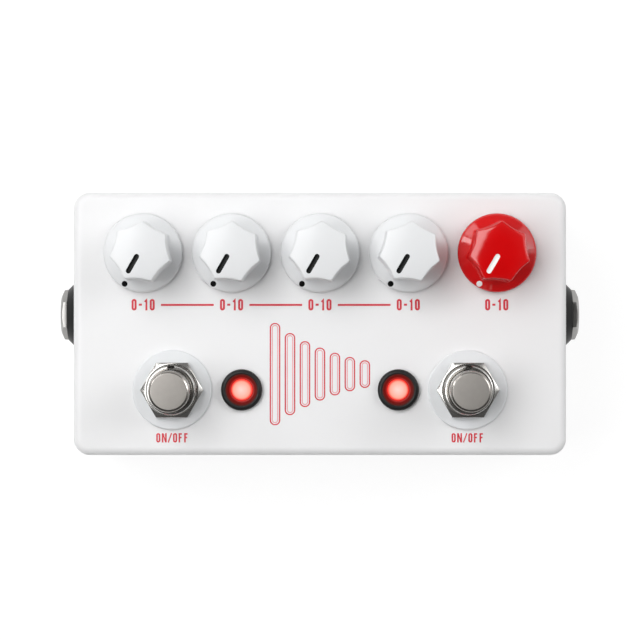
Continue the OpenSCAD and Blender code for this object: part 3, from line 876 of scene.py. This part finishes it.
def set_screw_cut():
    place = Matrix.Rotation(POINTER_TURN + math.pi, 4, "Z") @ Matrix.Translation((0, 0, SET_HOLE_Z * MM))
    hole = cylinder(SET_HOLE_R, SET_HOLE_START, SET_HOLE_END, 40)
    return placed(hole, place @ Matrix.Rotation(math.pi / 2, 4, "Y"))


def build_dials():
    """Each knob with its pointer groove and dot cut in, and the paint in them as a second piece."""
    cuts = [pointer_solid(0, GROOVE_DEPTH, -1, -1), dot_solid(0, GROOVE_DEPTH, -2, -2), set_screw_cut()]
    shaped = object_from("shaped_knob", carved(knob_mesh(), joined(cuts)))
    shrink = 0.005
    fill = GROOVE_DEPTH - 0.01
    for name in DIALS:
        slot, ink = ("knob_red", "ink_white") if name == "boost" else ("knob_white", "ink_black")
        body = name + "_dial"
        place = Matrix.Translation(above_panel(name + "_knob"))
        grip = bmesh.new()
        grip.from_mesh(shaped.data)
        piece(name + "_grip", grip, body, slot, [name + "_knob"], place, sharp=40)
        marks = joined([pointer_solid(shrink, fill, 0.02, 0.3), dot_solid(shrink, fill, 0.02, 0.02)])
        piece(name + "_marks", marks, body, ink, (), place, sharp=40)
    bpy.data.meshes.remove(shaped.data)


# Footswitches

def hex_nut(af, t, hole_r, face_r, drop, draft=0.0):
    """A hexagon nut from z = 0 up, with corners at +X and -X. Its end is flat out to face_r, its corners
    are turned down by the drop, and its sides lean in by the draft."""
    segments = 6 * 14
    corner_r = af / 2 / math.cos(math.pi / 6)
    slope = drop / (corner_r - face_r)
    bm = bmesh.new()
    columns = []
    for i in range(segments):
        a = 2 * math.pi * i / segments
        phi = a % (math.pi / 3) - math.pi / 6
        r = af / 2 / math.cos(phi)
        shoulder = t - slope * (r - face_r)
        points = eased([
            (hole_r, 0), (r, 0, 0.15), (r - draft * shoulder, shoulder, 0.12), (face_r, t, 0.1),
            (hole_r + 0.05, t, 0.04), (hole_r, t - 0.1),
        ], 3)
        columns.append([polar_vertex(bm, *point, a) for point in points])
    rows = list(zip(*columns))
    bridge_all(bm, rows + rows[:1])
    return bm


def thread(r, low, high, depth):
    """Profile points of thread ridges from low to high."""
    points = []
    for i in range(int((high - low) / THREAD_PITCH)):
        for inset, share in ((depth, 0.08), (0, 0.42), (0, 0.58), (depth, 0.92)):
            points.append((r - inset, low + i * THREAD_PITCH + share * THREAD_PITCH))
    return points


def crowned(inner, outer, top, crown, steps=8):
    """Profile points over a rim that is lower at both its edges than in its middle, from outside in."""
    middle = (inner + outer) / 2
    half = (outer - inner) / 2
    across = [1 - 2 * k / steps for k in range(steps + 1)]
    return [(middle + share * half, top - crown * share ** 2) for share in across]


def bushing_mesh():
    """The threaded tube and the switch's top frame, with a keyway and an inner notch at the rear."""
    bore = BUTTON_R + SLIDE_FIT
    tube_low = FRAME_LOW + 0.05
    tube = turned(
        [(bore, tube_low), (BUSHING_R, tube_low)]
        + thread(BUSHING_R, -PANEL_T, BUSHING_TOP - 0.5, BUSHING_THREAD)
        + [(BUSHING_R, BUSHING_TOP - 0.45)]
        + crowned(bore + 0.04, BUSHING_R - 0.14, BUSHING_TOP, RIM_CROWN)
        + [(bore, BUSHING_TOP - 0.2)]
    )
    half = SWITCH_W / 2
    plate = block((-half, -half, FRAME_LOW), (half, half, FRAME_LOW + FRAME_T))
    plate = carved(plate, cylinder(bore + 0.3, FRAME_LOW - 1, FRAME_LOW + 2))
    bushing = carved(plate, tube, "UNION")
    over = BUSHING_TOP + 1
    keyway_low = FRAME_LOW + FRAME_T + 0.5
    keyway_floor = BUSHING_R - KEYWAY_DEPTH
    keyway = block((-KEYWAY_W / 2, keyway_floor, keyway_low), (KEYWAY_W / 2, BUSHING_R + 1, over))
    notch = block((-NOTCH_W / 2, BUTTON_R - 0.5, BUSHING_TOP - 2), (NOTCH_W / 2, BUSHING_R - 0.5, over))
    return carved(carved(bushing, keyway), notch)


def button_mesh():
    """A button with its stem and flange below, and a bevelled, slightly domed top."""
    dome = [(r, BUTTON_TOP - CAP_RISE * (r / CAP_FLAT_R) ** 2) for r in (3.4, 2.6, 1.7, 0.8)]
    return turned(eased([
        (0, BUTTON_LOW), (STEM_R, BUTTON_LOW, 0.3), (STEM_R, FLANGE_LOW), (FLANGE_R, FLANGE_LOW, 0.2),
        (FLANGE_R, FLANGE_TOP, 0.2), (BUTTON_R, FLANGE_TOP), (BUTTON_R, BUTTON_TOP - 0.5, 0.25),
        (BUTTON_R - 0.3, BUTTON_TOP - 0.27, 0.15), (CAP_FLAT_R, BUTTON_TOP - CAP_RISE, 0.06),
        *dome, (0, BUTTON_TOP),
    ]), 128)


def switch_washer_mesh():
    hole_r = BUSHING_R + SEAT_GAP
    return turned(eased([
        (hole_r, 0), (SWITCH_WASHER_R, 0, 0.1),
        (SWITCH_WASHER_R, SWITCH_WASHER_T, 0.45), (hole_r, SWITCH_WASHER_T),
    ]), 128)


def switch_nut_mesh():
    face_r = SWITCH_NUT_AF / 2 - 0.25
    return hex_nut(SWITCH_NUT_AF, SWITCH_NUT_T, BUSHING_R + THREAD_FIT, face_r, SWITCH_NUT_DROP)


def build_switches():
    nuts = []
    washers = []
    for side in SIDES:
        place = Matrix.Translation(above_panel(side + "_button"))
        bushing_node = side + "_switch_bushing"
        button_body = side + "_footswitch"
        piece(side + "_bushing", bushing_mesh(), "chassis", "nickel", [bushing_node], place, sharp=40)
        piece(side + "_cap", button_mesh(), button_body, "satin_nickel", [side + "_button"], place)
        build_spring(side)
        nuts.append(placed(switch_nut_mesh(), place @ Matrix.Translation((0, 0, SWITCH_WASHER_T * MM))))
        washers.append(placed(switch_washer_mesh(), place))
    piece("panel_nuts", joined(nuts), "chassis", "nickel", ["switch_nuts"], sharp=25)
    piece("nylon_washers", joined(washers), "chassis", "nylon", ["switch_washers"])


def spring_mesh(r, wire, low, high):
    """A coil of round wire between two heights, all in metres."""
    steps = SPRING_TURNS * 24
    sides = 10
    rise = high - low - 2 * wire
    ring = [2 * math.pi * k / sides for k in range(sides)]
    bm = bmesh.new()
    rows = []
    for i in range(steps + 1):
        a = 2 * math.pi * SPRING_TURNS * i / steps
        out = Vector((math.cos(a), math.sin(a), 0))
        spot = r * out + Vector((0, 0, low + wire + rise * i / steps))
        around = [math.cos(t) * out + Vector((0, 0, math.sin(t))) for t in ring]
        rows.append([bm.verts.new(spot + wire * direction) for direction in around])
    bridge_all(bm, rows)
    close_ends(bm, rows)
    return bm


def build_spring(side):
    """The return spring, built as a still coil on its own mesh; the real spring shortens as the button
    goes down.
    """
    node = side + "_switch_spring"
    low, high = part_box(node)
    middle = (low + high) / 2
    wire = SPRING_WIRE_R * MM
    coil = spring_mesh((high.x - low.x) / 2 - wire, wire, low.z, high.z)
    place = Matrix.Translation((middle.x, middle.y, 0))
    obj = piece(side + "_coil", coil, "chassis", "zinc_steel", [node], place, sharp=60)
    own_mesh(obj)


# Lamps

def bezel_mesh():
    hole_r = LAMP_R + 0.1
    return turned(eased([
        (hole_r, BEZEL_LOW), (BEZEL_BARREL_R, BEZEL_LOW, 0.2), (BEZEL_BARREL_R, 0), (BEZEL_R, 0),
        (BEZEL_R, BEZEL_TOP - 0.5, 0.6), (BEZEL_R - 0.55, BEZEL_TOP, 0.45),
        (WELL_TOP_R, BEZEL_TOP, 0.3), (WELL_LOW_R, WELL_LOW, 0.2), (hole_r, WELL_LOW),
    ]), 96)


def lens_mesh():
    """A round-ended lamp with a flange under the bezel."""
    tip = BEZEL_TOP - LAMP_DROP
    shoulder = tip - LAMP_R
    arc = [math.pi / 2 * k / 12 for k in range(1, 12)]
    body = eased([
        (0, LAMP_FLANGE_LOW), (LAMP_FLANGE_R, LAMP_FLANGE_LOW, 0.15), (LAMP_FLANGE_R, BEZEL_LOW),
        (LAMP_R, BEZEL_LOW), (LAMP_R, shoulder),
    ])
    dome = [(LAMP_R * math.cos(a), shoulder + LAMP_R * math.sin(a)) for a in arc]
    return turned(body + dome + [(0, tip)], 64)


def build_lamps():
    for side in SIDES:
        place = Matrix.Translation(above_panel(side + "_lamp"))
        nodes = [side + "_lamp_bezel"]
        # The bezel's material has the lamp's light painted on its well as a glow of its own.
        piece(side + "_bezel", bezel_mesh(), "chassis", "black_plastic", nodes, place, "bezel_painted_glow")
        piece(side + "_lens", lens_mesh(), "chassis", "lamp_red", [side + "_lamp"], place)


# Jacks and power socket

def jack_washer_mesh():
    hole_r = NOSE_R + SEAT_GAP
    face_r = JACK_WASHER_R - (JACK_WASHER_T - JACK_WASHER_RIM)
    return turned(eased([
        (hole_r, 0), (JACK_WASHER_R, 0), (JACK_WASHER_R, JACK_WASHER_RIM, 0.25),
        (face_r, JACK_WASHER_T, 0.25), (hole_r, JACK_WASHER_T),
    ]), 96)


def jack_nut_mesh():
    hole_r = NOSE_R + THREAD_FIT
    return hex_nut(JACK_NUT_AF, JACK_NUT_T, hole_r, NOSE_R + 0.2, JACK_NUT_DROP, JACK_NUT_DRAFT)


def jack_body_mesh(side):
    """The box inside the wall with its threaded nose, its plug hole and the slot for its contacts."""
    back = -JACK_LEN - WALL_T
    past = 2 * back
    nose = turned(
        [(PLUG_R, back), (NOSE_R, back)]
        + thread(NOSE_R, -WALL_T, NOSE_END - 0.5, NOSE_THREAD)
        + eased([(NOSE_R, NOSE_END - 0.45), (NOSE_R - 0.8, NOSE_END, 0.5),
                 (PLUG_R + 0.15, NOSE_END, 0.1), (PLUG_R, NOSE_END - 0.15)], 4)
    )
    half = JACK_W / 2
    box = carved(block((-half, -half, back), (half, half, -WALL_T)), cylinder(PLUG_R + 0.4, past, 10))
    near, far = sorted(-side * x for x in CONTACT_SLOT_X)
    slot = block((near, CONTACT_SLOT_Y, past), (far, CONTACT_SLOT_Y + CONTACT_SLOT_T, CONTACT_SLOT_END))
    return carved(carved(box, nose, "UNION"), slot)


def build_jacks():
    nuts = []
    washers = []
    for side, name in ((1, "input_jack"), (-1, "output_jack")):
        wall = along_x(side, side * CASE_HIGH.x, JACK_Y, JACK_Z)
        seat = wall @ Matrix.Translation((0, 0, JACK_WASHER_T * MM))
        washers.append(placed(jack_washer_mesh(), wall))
        nuts.append(placed(jack_nut_mesh(), seat @ Matrix.Rotation(math.pi / 6, 4, "Z")))
        barrel = jack_body_mesh(side)
        piece(name + "_barrel", barrel, "chassis", "black_plastic", [name + "_body"], wall, sharp=40)
    piece("jack_collars", joined(washers), "chassis", "black_plastic", ["jack_washers"])
    nodes = ["jack_nuts"]
    piece("jack_ring_nuts", joined(nuts), "chassis", "nickel", nodes, material="dull_nickel", sharp=25)


def build_power_socket():
    low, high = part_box("power_socket")
    mouth = along_y(0, high.y, SOCKET_Z)
    half_h = (high.z - low.z) / MM / 2
    floor = -SOCKET_DEPTH
    box = block((-SOCKET_W / 2, -half_h, -(high.y - low.y) / MM), (SOCKET_W / 2, half_h, SOCKET_FACE))
    box = carved(box, cylinder(SOCKET_R + 0.5, floor, 5))
    nose = turned(eased([
        (SOCKET_R, floor), (SOCKET_NOSE_R - 0.4, floor), (SOCKET_NOSE_R, -4), (SOCKET_NOSE_R, 0, 0.35),
        (SOCKET_R + 0.3, 0, 0.2), (SOCKET_R, -0.3),
    ], 4))
    socket = carved(box, nose, "UNION")
    piece("rear_socket", socket, "chassis", "black_plastic", ["power_socket"], mouth, sharp=40)
    base_top = PIN_BASE_T + floor
    tip = floor + PIN_LEN
    pin = turned(eased([
        (0, floor), (PIN_BASE_R, floor), (PIN_BASE_R, base_top, 0.15), (PIN_R, base_top),
        (PIN_R, tip, 0.8), (0, tip),
    ]), 48)
    piece("rear_socket_pin", pin, "chassis", "nickel", ["power_socket_pin"], mouth)


# Print on the panel

def ribbon(bm, points, width, closed=False):
    """A flat line of ink along points in millimetres, with mitred corners."""
    count = len(points)
    low, high = INK_LIFT, INK_LIFT + INK_T
    rows = []
    for i, point in enumerate(points):
        spot = Vector(point)
        before = spot - Vector(points[i - 1]) if i or closed else Vector(points[1]) - spot
        after = Vector(points[(i + 1) % count]) - spot if i < count - 1 or closed else before
        across = (before.normalized() + after.normalized()).normalized().orthogonal()
        reach = width / 2 / max(0.45, across.dot(before.normalized().orthogonal()))
        left = spot + across * reach
        right = spot - across * reach
        corners = ((left, low), (right, low), (right, high), (left, high))
        rows.append([bm.verts.new((p.x * MM, p.y * MM, z * MM)) for p, z in corners])
    bridge_all(bm, rows + rows[:1] if closed else rows)
    if not closed:
        close_ends(bm, rows)


def stamp(bm, outline):
    """A flat patch of ink with the given outline."""
    rows = [flat_row(bm, outline, z) for z in (INK_LIFT, INK_LIFT + INK_T)]
    bridge_all(bm, rows)
    close_ends(bm, rows)


def oval(x, y, w, h, r):
    """Points around an upright rounded rectangle about x, y."""
    return [(x + px, y + py) for px, py in rounded_outline(w, h, r, 8)]


def glyph(bm, sign, x, y, w, h, line):
    """Draws one sign in a box with its lower left corner at x, y."""
    e = line / 2
    left, right, high = x + e, x + w - e, y + h - e
    if sign in "0O":
        outline = oval(x + w / 2, y + h / 2, w - line, h - line, (w - line) / 2 * 0.95)
        ribbon(bm, outline, line, closed=True)
    elif sign == "1":
        stem = x + w / 2 + 0.1 * w
        ribbon(bm, [(stem - 0.38 * w, high - 0.17 * h), (stem, high - 0.02 * h), (stem, y)], line)
    elif sign == "-":
        ribbon(bm, [(x + 0.1 * w, y + h / 2), (x + 0.9 * w, y + h / 2)], line)
    elif sign == "/":
        ribbon(bm, [(x, y), (x + w, y + h)], line * 0.8)
    elif sign == "N":
        lean = 0.4 * h
        lower = [(x, y), (x + line, y), (x + line, y + h - lean), (x + w - line, y), (x + w, y)]
        upper = [(2 * x + w - px, 2 * y + h - py) for px, py in lower]
        stamp(bm, lower + upper)
    elif sign == "F":
        ribbon(bm, [(right, high), (left, high), (left, y)], line)
        ribbon(bm, [(left + e, y + 0.53 * h), (right - 0.1 * w, y + 0.53 * h)], line)


def write(bm, signs, x, y, h, line):
    """Signs centred on x, y."""
    widths = {"1": 0.34, "-": 0.34, "/": 0.36, "N": 0.52}
    gap = 0.16 * h
    sizes = [widths.get(sign, 0.44) * h for sign in signs]
    spot = x - (sum(sizes) + gap * (len(signs) - 1)) / 2
    for sign, w in zip(signs, sizes):
        glyph(bm, sign, spot, y - h / 2, w, h, line)
        spot += w + gap


def text_mesh():
    """Plain numbers under the dials with lines between them, and ON/OFF under the switches."""
    dial_x = [above_panel(name + "_knob").x / MM for name in DIALS]
    bm = bmesh.new()
    for x in dial_x:
        write(bm, "0-10", x, DIAL_TEXT_Y, DIAL_TEXT_H, DIAL_STROKE)
    for side in SIDES:
        x = above_panel(side + "_button").x / MM
        write(bm, "ON/OFF", x, SWITCH_TEXT_Y, SWITCH_TEXT_H, SWITCH_STROKE)
    for start, end in zip(dial_x[:3], dial_x[1:4]):
        line = [(start + DIAL_LINE_INSET, DIAL_LINE_Y), (end - DIAL_LINE_INSET, DIAL_LINE_Y)]
        ribbon(bm, line, DIAL_STROKE)
    return bm


def bars_mesh(inset, r, stroke):
    """The outlines of a row of shrinking bars, each drawn inside its edge by the inset."""
    bm = bmesh.new()
    for i in range(BARS):
        x = (i - (BARS - 1) / 2) * BAR_PITCH
        h = BAR_H * BAR_SHRINK ** i
        ribbon(bm, oval(x, BAR_Y, BAR_W - 2 * inset, h - 2 * inset, r), stroke, closed=True)
    return bm


def build_print():
    panel = Matrix.Translation((0, 0, PANEL_Z))
    piece("dial_numbers", text_mesh(), "chassis", "ink_red", (), panel)
    piece("panel_motif", bars_mesh(0, 1.1, 0.3), "chassis", "ink_red", (), panel)
    piece("panel_motif_inner", bars_mesh(0.5, 0.62, 0.2), "chassis", "ink_pink", (), panel)


# Stage

def softbox(name, place, size, watts):
    """A rectangular lamp at a place in metres, turned to the middle of the object."""
    light = bpy.data.lights.new(name, "AREA")
    light.shape = "RECTANGLE"
    light.size, light.size_y = size
    light.energy = watts
    obj = bpy.data.objects.new(name, light)
    obj.location = place
    bpy.context.scene.collection.objects.link(obj)
    direction = Vector((0, 0, 0.03)) - obj.location
    obj.rotation_euler = direction.to_track_quat("-Z", "Y").to_euler()


def seen_directly(tree):
    """1 for the camera's own rays and those that come by a mirror or through glass, 0 for the rest."""
    rays = new_node(tree, "ShaderNodeLightPath").outputs
    mirrored = maths(tree, "MAXIMUM", rays["Is Glossy Ray"], rays["Is Transmission Ray"])
    return maths(tree, "MAXIMUM", rays["Is Camera Ray"], mirrored)


def build_world():
    """A dim room that is dark overhead, with a white backdrop behind the stage and a dark card in front
    of it that only reflections show."""
    world = bpy.data.worlds.new("studio")
    bpy.context.scene.world = world
    world.use_nodes = True
    tree = world.node_tree
    spot = new_node(tree, "ShaderNodeTexCoord").outputs["Generated"]
    direction = new_node(tree, "ShaderNodeSeparateXYZ", Vector=spot).outputs
    room = map_range(tree, direction["Z"], OVERHEAD_Z, (ROOM_LIGHT, OVERHEAD_LIGHT))
    behind = map_range(tree, direction["Y"], BEHIND_Y)
    card = map_range(tree, behind, (0, 1), (CARD_SHARE, 1))
    glossy = new_node(tree, "ShaderNodeLightPath").outputs["Is Glossy Ray"]
    room = maths(tree, "MULTIPLY", room, mixed(tree, glossy, 1.0, card))
    backdrop = maths(tree, "MULTIPLY", map_range(tree, direction["Z"], BACKDROP_Z), behind)
    shown = maths(tree, "MULTIPLY", backdrop, seen_directly(tree))
    background = tree.nodes["Background"]
    feed(tree, background.inputs["Color"], (1, 1, 1, 1))
    feed(tree, background.inputs["Strength"], mixed(tree, shown, room, 1.0))


def build_floor():
    """Pale paper that keeps the object's shadow and glows white where it is seen directly."""
    bm = bmesh.new()
    bmesh.ops.create_grid(bm, x_segments=8, y_segments=8, size=4)
    floor = object_from("floor", bm)
    pale = (PAPER_PALE, PAPER_PALE, PAPER_PALE)
    dark = (PAPER_SEEN, PAPER_SEEN, PAPER_SEEN)
    shader = Shader("floor_paper", pale, 0.9, Specular_IOR_Level=0.0, Emission_Color=(1, 1, 1, 1))
    seen = seen_directly(shader.tree)
    shader.feed("Base Color", mixed(shader.tree, seen, (*pale, 1), (*dark, 1), "RGBA"))
    shader.feed("Emission Strength", map_range(shader.tree, seen, (0, 1), (0, PAPER_GLOW)))
    floor.data.materials.append(shader.material)


def build_camera():
    """Looks straight down on the panel."""
    camera = bpy.data.cameras.new("camera")
    camera.lens = CAMERA_LENS
    camera.sensor_width = CAMERA_SENSOR
    camera.clip_start = 0.01
    obj = bpy.data.objects.new("camera", camera)
    obj.location = (CAMERA_X * MM, CAMERA_Y * MM, PANEL_Z + CAMERA_RISE * MM)
    bpy.context.scene.collection.objects.link(obj)
    bpy.context.scene.camera = obj


def build_stage():
    bpy.context.scene.view_settings.view_transform = "Standard"
    build_world()
    build_floor()
    softbox("key", (-0.39, 0.17, 0.87), (0.95, 0.44), 6.3)
    softbox("left_panel", (-0.6, 0.29, 0.487), (0.16, 0.12), 0.4)
    softbox("rear_panel", (-0.45, 0.5, 0.487), (0.3, 0.08), 0.23)
    softbox("right_panel", (1.2, 0.45, 0.9), (0.6, 0.3), 3.2)
    softbox("right_fill", (0.72, 0.3, 0.72), (0.7, 0.6), 1.6)
    build_camera()


paint_cad_nodes()
build_enclosure()
build_base_plate()
build_feet()
build_dials()
build_switches()
build_lamps()
build_jacks()
build_power_socket()
build_print()
build_stage()
